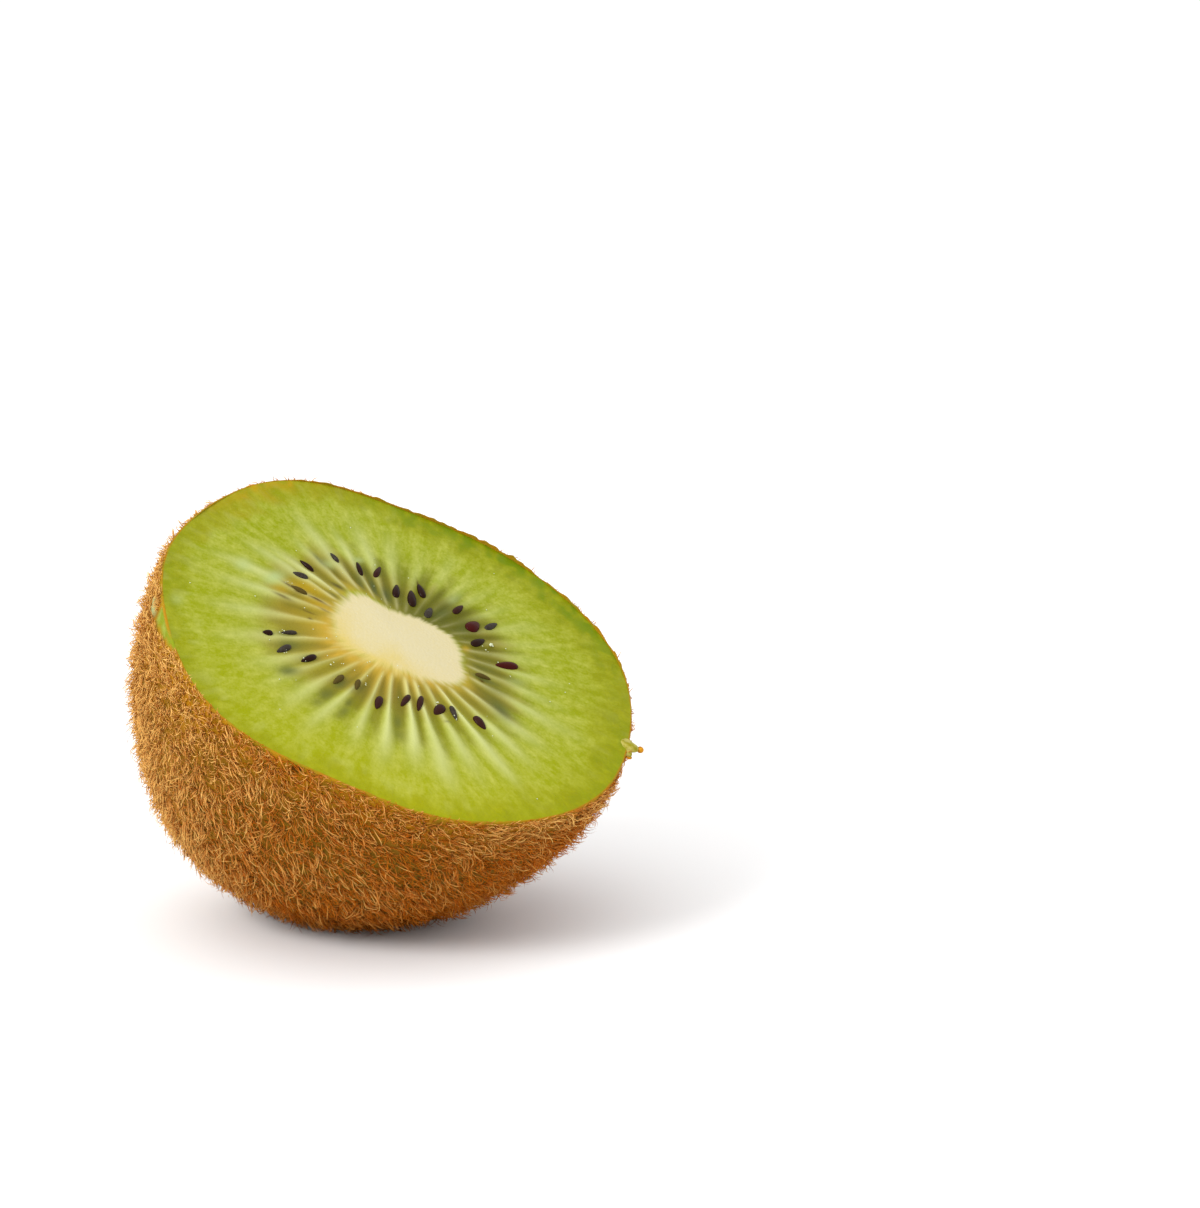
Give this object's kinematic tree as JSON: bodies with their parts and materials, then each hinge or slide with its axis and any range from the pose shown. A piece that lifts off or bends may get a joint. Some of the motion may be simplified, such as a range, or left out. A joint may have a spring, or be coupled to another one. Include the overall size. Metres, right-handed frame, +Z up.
{
  "type": "kiwi fruit half",
  "caption": "Half a kiwi fruit, cut across, leaning on its rounded hairy side with the green cut face, pale core and dark seeds up towards the front.",
  "frame": {"origin": "middle of the small flat spot on the skin that the half rests on", "axes": "+Z up; the cut face looks up, leaning 26.9 degrees to the front (-Y) and 23.4 degrees to the right (+X)"},
  "size_m": [0.053, 0.0489, 0.0453],
  "materials": {
    "flesh": "moist cut kiwi flesh, yellow-green, with whitish rays; the side is a thin brown skin under short fuzz",
    "core": "moist pale cream core",
    "skin": "thin dull brown skin, greener near the rim",
    "fuzz": "short stiff golden-brown hairs",
    "seed": "small glossy seeds, black to red-brown"
  },
  "bodies": {
    "root": {"fruit": "flesh", "core": "core"}
  },
  "joints": []
}
